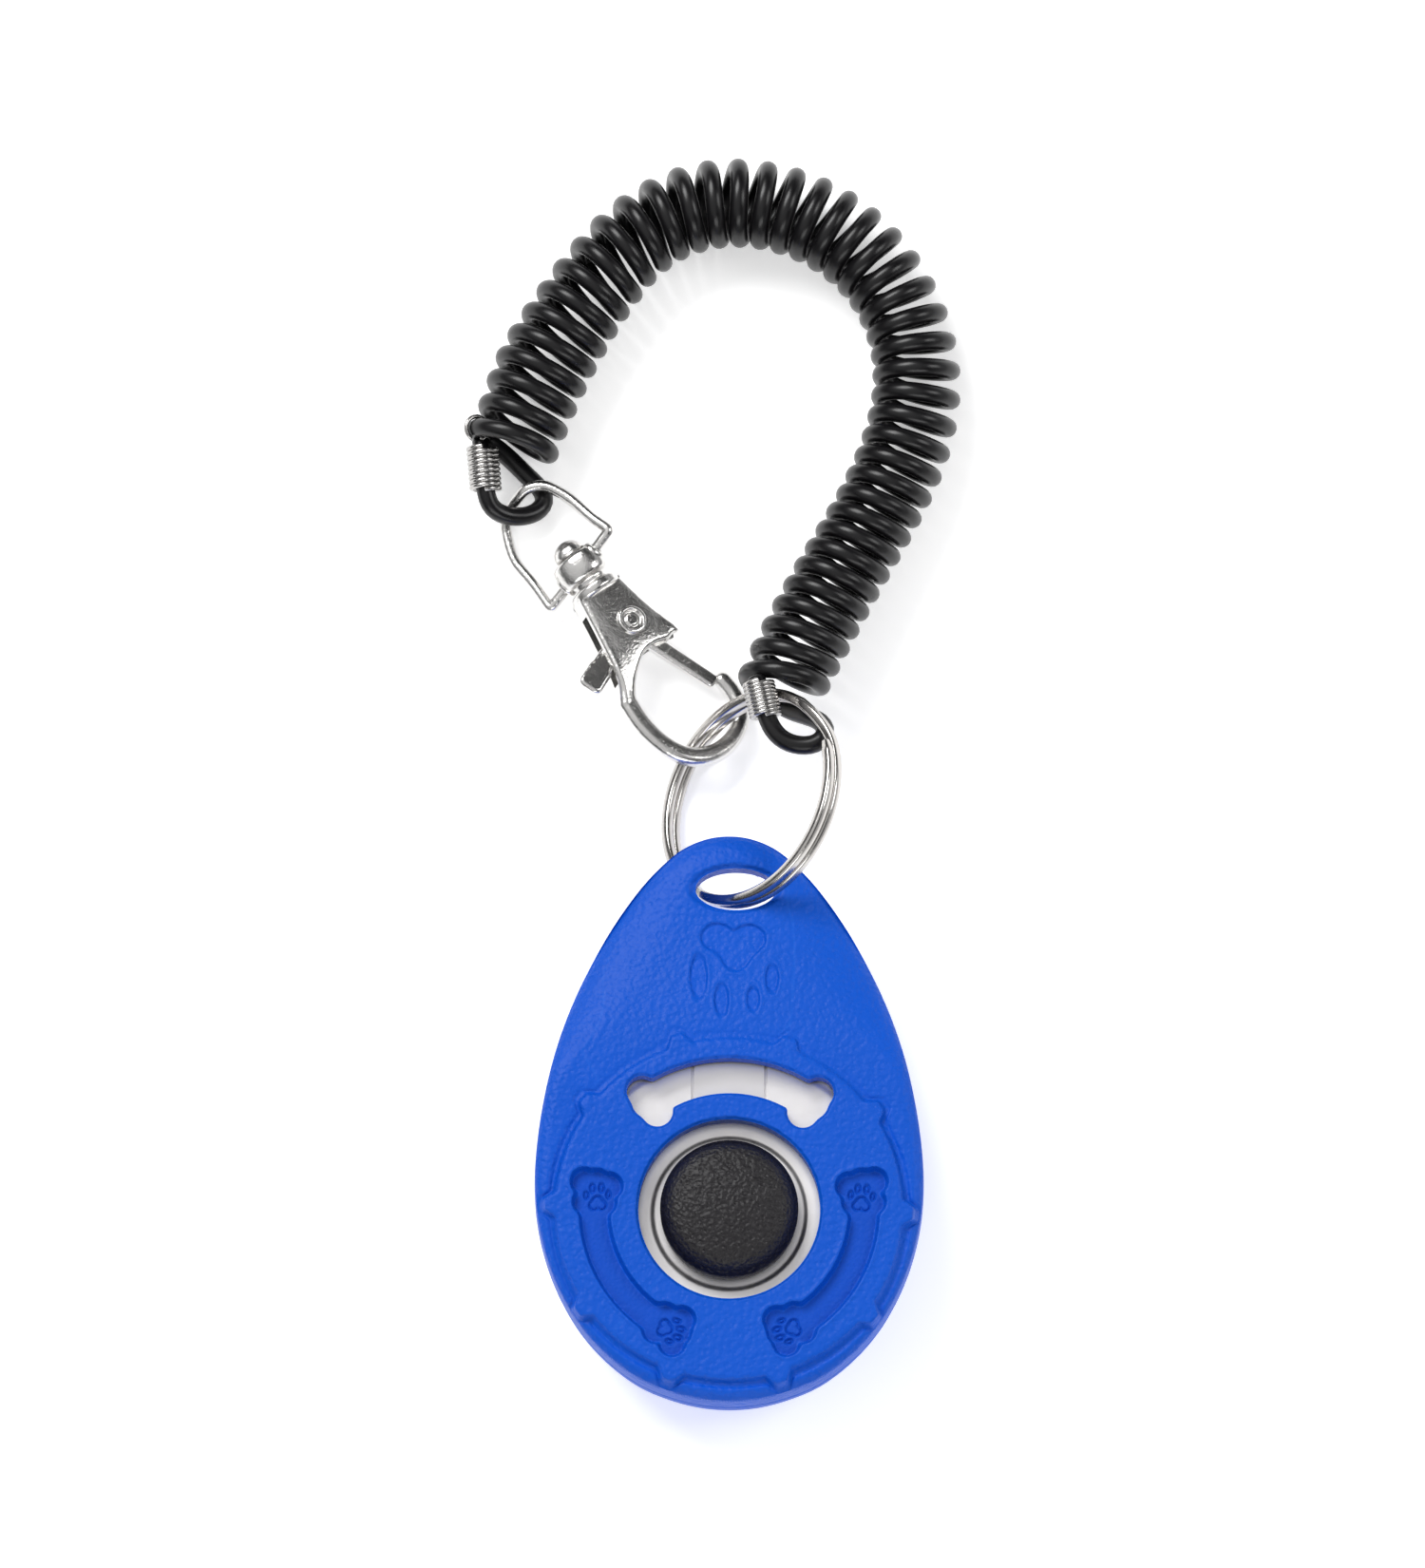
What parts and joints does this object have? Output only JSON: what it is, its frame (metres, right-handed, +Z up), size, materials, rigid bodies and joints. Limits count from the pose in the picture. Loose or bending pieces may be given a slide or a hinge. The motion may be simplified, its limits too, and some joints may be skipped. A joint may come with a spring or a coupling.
{
  "type": "clicker trainer",
  "caption": "Egg-shaped press-button pet training clicker with a split ring, a swivel lobster clasp and a coiled wrist cord.",
  "frame": {"origin": "where the button's axis meets the plane of the casing's flat back", "axes": "+Z up through the button face, +Y towards the key-ring end, +X to the right of the face"},
  "size_m": [0.0571, 0.1464, 0.0196],
  "materials": {
    "case_plastic": "fine moulded texture",
    "button_plastic": "leather grain",
    "click_steel": "polished",
    "ring_steel": "nickel plated",
    "cord_tpu": "gloss",
    "crimp_wire": "nickel plated",
    "clasp_nickel": "nickel plated die-casting",
    "spring_steel": "plain"
  },
  "bodies": {
    "casing": {"front_cover": "case_plastic", "back_cover": "case_plastic"},
    "button": {"button": "button_plastic"},
    "click_plate": {"click_plate": "click_steel"},
    "ring": {"split_ring": "ring_steel"},
    "coil": {"coil_cord": "cord_tpu", "upper_crimp": "crimp_wire", "lower_crimp": "crimp_wire"},
    "bail": {"bail": "clasp_nickel"},
    "swivel": {"swivel_barrel": "clasp_nickel", "swivel_post": "clasp_nickel"},
    "clasp": {"clasp_body": "clasp_nickel", "gate_rivet": "clasp_nickel", "gate_spring": "spring_steel"},
    "gate": {"clasp_gate": "clasp_nickel"}
  },
  "joints": [
    {"name": "button_press", "type": "slide", "parent": "casing", "child": "button", "axis": [0, 0, -1], "range_m": [0, 0.0012], "stiffness_N_per_m": 4000},
    {"name": "plate_flex", "type": "hinge", "parent": "casing", "child": "click_plate", "pos_m": [0, 0.0205, 0.0114], "axis": [1, 0, 0], "range_deg": [0, 4.2]},
    {"name": "ring_swing", "type": "hinge", "parent": "casing", "child": "ring", "pos_m": [0.00076, 0.0375, 0.0104], "axis": [1, 0, 0], "range_deg": [-4, 6]},
    {"name": "coil_swing", "type": "hinge", "parent": "ring", "child": "coil", "pos_m": [0.0072, 0.0595, 0.011], "axis": [0, 0, 1], "range_deg": [0, 3]},
    {"name": "bail_swing", "type": "hinge", "parent": "coil", "child": "bail", "pos_m": [-0.024, 0.0845, 0.002], "axis": [0, 0, 1], "range_deg": [0, 1.5]},
    {"name": "barrel_turn", "type": "hinge", "parent": "bail", "child": "swivel", "pos_m": [-0.01708, 0.07648, 0.0035], "axis": [0.595, 0.759, 0.2644], "range_deg": [-1.2, 1.2]},
    {"name": "clasp_spin", "type": "hinge", "parent": "swivel", "child": "clasp", "pos_m": [-0.01708, 0.07648, 0.0035], "axis": [0.5821, -0.8131, 0], "range_deg": [-4, 4]},
    {"name": "gate_open", "type": "hinge", "parent": "clasp", "child": "gate", "pos_m": [-0.01169, 0.06981, 0.0035], "axis": [-0.2755, -0.1972, -0.9409], "range_deg": [0, 24]}
  ],
  "couplings": [
    {"joint": "plate_flex", "follows": "button_press", "rad_per_m": 60}
  ]
}
